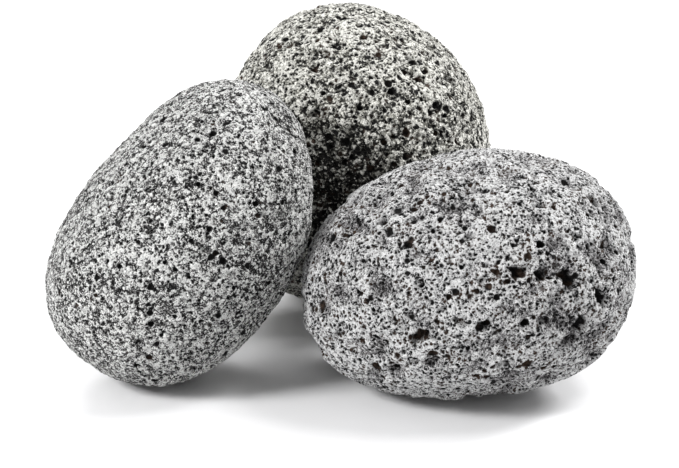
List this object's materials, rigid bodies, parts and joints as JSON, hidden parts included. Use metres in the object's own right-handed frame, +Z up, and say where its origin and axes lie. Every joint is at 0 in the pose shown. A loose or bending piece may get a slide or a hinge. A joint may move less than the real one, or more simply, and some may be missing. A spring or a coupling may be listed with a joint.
{
  "type": "basalt massage stone",
  "caption": "Loose tumbled vesicular basalt pebbles for hot-stone massage, smooth egg-like forms with open pores, leaning together on small worn flats.",
  "frame": {"origin": "bottom centre of the set's bounding box, on the surface that the stones rest on", "axes": "+X along the row's longest side, from the left stone to the right stone; +Y away from the viewer, to the rear stone; +Z up"},
  "size_m": [0.142, 0.137, 0.081],
  "materials": {
    "right_stone_basalt": "matte",
    "rear_stone_basalt": "matte",
    "left_stone_basalt": "matte"
  },
  "bodies": {
    "right_stone": {"right_stone": "right_stone_basalt"},
    "rear_stone": {"rear_stone": "rear_stone_basalt"},
    "left_stone": {"left_stone": "left_stone_basalt"}
  },
  "joints": [
    {"name": "lift_left_stone", "type": "slide", "parent": "right_stone", "child": "left_stone", "axis": [-0.3015, -0.3015, 0.9045], "range_m": [0, 0.12]},
    {"name": "lift_rear_stone", "type": "slide", "parent": "right_stone", "child": "rear_stone", "axis": [0, 0.3011, 0.9536], "range_m": [0, 0.12]}
  ]
}
